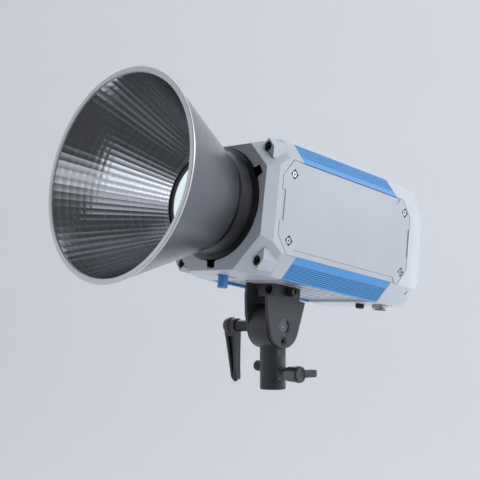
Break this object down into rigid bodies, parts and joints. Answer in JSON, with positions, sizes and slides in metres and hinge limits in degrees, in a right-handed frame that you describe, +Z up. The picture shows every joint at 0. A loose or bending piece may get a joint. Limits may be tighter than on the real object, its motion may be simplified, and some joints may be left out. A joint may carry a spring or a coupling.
{
  "type": "monolight",
  "caption": "Studio monolight with an octagonal finned body, a bayonet cone reflector, rear controls and a tilting stand bracket with a clamp lever and umbrella hole.",
  "frame": {"origin": "centre of the stand socket's mouth, where the stand's spigot goes in", "axes": "+Z up the socket, -Y the way the light shines with the head level, +X the side with the clamp knobs"},
  "size_m": [0.1778, 0.3649, 0.269],
  "materials": {
    "white_paint": "satin, fine texture",
    "blue_anodised": "satin, anodised, fine lengthwise grooves",
    "panel_paint": "satin",
    "black_steel": "satin black",
    "dark_bracket": "satin charcoal",
    "steel": "machined",
    "bright": "polished",
    "black_plastic": "moulded, fine grain",
    "blue_plastic": "semi-gloss",
    "frosted_cover": "satin, milky cover",
    "emitter": "phosphor",
    "heat_sink": "mill finish",
    "copper": "bright copper",
    "board": "solder mask",
    "component": "moulded",
    "display": "smoked, glossy",
    "reflector_grey": "satin, spun",
    "mirror": "bright, faceted",
    "pad_brass": "machined"
  },
  "bodies": {
    "base": {"stand_socket": "dark_bracket", "socket_plug": "black_plastic"},
    "head": {"bayonet_plate": "black_steel", "bottom_grille": "white_paint", "bracket_screws": "black_steel", "chassis_tray": "steel", "control_board": "board", "control_panel": "black_plastic", "cooling_fins": "heat_sink", "corner_screws": "black_steel", "cover_glass": "frosted_cover", "data_port": "black_plastic", "display_module": "black_plastic", "display_window": "display", "driver_board": "board", "driver_components": "component", "fan_frame": "black_plastic", "front_bezel": "white_paint", "glass_retainer": "black_steel", "heat_pipes": "copper", "led_base_plate": "heat_sink", "led_emitter": "emitter", "led_substrate": "heat_sink", "lock_spring": "steel", "lower_rail_left": "blue_anodised", "lower_rail_right": "blue_anodised", "pivot_axle": "bright", "power_inlet": "black_steel", "power_switch": "black_plastic", "rear_housing": "white_paint", "side_panel_left": "panel_paint", "side_panel_right": "panel_paint", "side_panel_screws": "black_steel", "tension_screw": "black_steel", "tilt_mount_pad": "white_paint", "tilt_yoke": "dark_bracket", "top_grille": "white_paint", "upper_rail_left": "blue_anodised", "upper_rail_right": "blue_anodised"},
    "clamp_foot": {"clamp_foot": "pad_brass"},
    "socket_knob": {"socket_knob": "dark_bracket"},
    "umbrella_tip": {"umbrella_screw_tip": "pad_brass"},
    "umbrella_knob": {"umbrella_knob": "black_plastic"},
    "lever_turner": {"lever_sleeve": "steel", "lever_retainer": "steel", "lever_spring": "steel"},
    "lever_grip": {"lever_handle": "dark_bracket", "lever_cap": "black_plastic"},
    "reflector": {"reflector": "reflector_grey", "reflector_liner": "mirror", "reflector_ring": "black_plastic"},
    "lock": {"lock_pin": "steel", "release_knob": "blue_plastic"},
    "fan": {"fan_rotor": "black_plastic"},
    "brightness": {"brightness_knob": "black_plastic"},
    "colour": {"colour_knob": "black_plastic"},
    "mode": {"mode_button": "black_plastic"},
    "effect": {"effect_button": "black_plastic"},
    "channel": {"channel_button": "black_plastic"},
    "rocker": {"power_rocker": "black_plastic"}
  },
  "joints": [
    {"name": "head_tilt", "type": "hinge", "parent": "base", "child": "head", "pos_m": [0, 0, 0.057], "axis": [-1, 0, 0], "range_deg": [-93, 80]},
    {"name": "clamp_slide", "type": "slide", "parent": "base", "child": "clamp_foot", "axis": [1, 0, 0], "range_m": [-0.0015, 0.003]},
    {"name": "socket_knob_turn", "type": "hinge", "parent": "clamp_foot", "child": "socket_knob", "pos_m": [0.015, 0, 0.0146], "axis": [1, 0, 0], "range_deg": [-360, 720]},
    {"name": "umbrella_slide", "type": "slide", "parent": "head", "child": "umbrella_tip", "axis": [1, 0, 0], "range_m": [-0.0008, 0.0016]},
    {"name": "umbrella_knob_turn", "type": "hinge", "parent": "umbrella_tip", "child": "umbrella_knob", "pos_m": [0.015, 0.00459, 0.08847], "axis": [1, 0, 0], "range_deg": [-360, 720]},
    {"name": "lever_turn", "type": "hinge", "parent": "head", "child": "lever_turner", "pos_m": [-0.03, 0, 0.057], "axis": [1, 0, 0], "range_deg": [-110, 110]},
    {"name": "lever_pull", "type": "slide", "parent": "lever_turner", "child": "lever_grip", "axis": [-1, 0, 0], "range_m": [0, 0.003]},
    {"name": "reflector_twist", "type": "hinge", "parent": "head", "child": "reflector", "pos_m": [0, -0.07212, 0.16464], "axis": [0, 0.9895, -0.1444], "range_deg": [0, 20]},
    {"name": "lock_release", "type": "slide", "parent": "head", "child": "lock", "axis": [0, 0.9895, -0.1444], "range_m": [0, 0.0081]},
    {"name": "fan_spin", "type": "hinge", "parent": "head", "child": "fan", "pos_m": [0, 0.01785, 0.19598], "axis": [0, 0.1444, 0.9895], "continuous": true},
    {"name": "brightness_turn", "type": "hinge", "parent": "head", "child": "brightness", "pos_m": [0.0255, 0.16193, 0.16182], "axis": [0, 0.9895, -0.1444], "continuous": true},
    {"name": "colour_turn", "type": "hinge", "parent": "head", "child": "colour", "pos_m": [-0.0255, 0.16193, 0.16182], "axis": [0, 0.9895, -0.1444], "continuous": true},
    {"name": "mode_press", "type": "slide", "parent": "head", "child": "mode", "axis": [0, -0.9895, 0.1444], "range_m": [0, 0.0008]},
    {"name": "effect_press", "type": "slide", "parent": "head", "child": "effect", "axis": [0, -0.9895, 0.1444], "range_m": [0, 0.0008]},
    {"name": "channel_press", "type": "slide", "parent": "head", "child": "channel", "axis": [0, -0.9895, 0.1444], "range_m": [0, 0.0008]},
    {"name": "power_rock", "type": "hinge", "parent": "head", "child": "rocker", "pos_m": [-0.03, 0.15444, 0.11744], "axis": [-1, 0, 0], "range_deg": [0, 16]}
  ],
  "couplings": [
    {"joint": "clamp_slide", "follows": "socket_knob_turn", "m_per_rad": 0.00023873},
    {"joint": "umbrella_knob_turn", "follows": "umbrella_slide", "rad_per_m": 7854},
    {"joint": "lock_release", "follows": "reflector_twist", "m_per_rad": 0.022918}
  ]
}
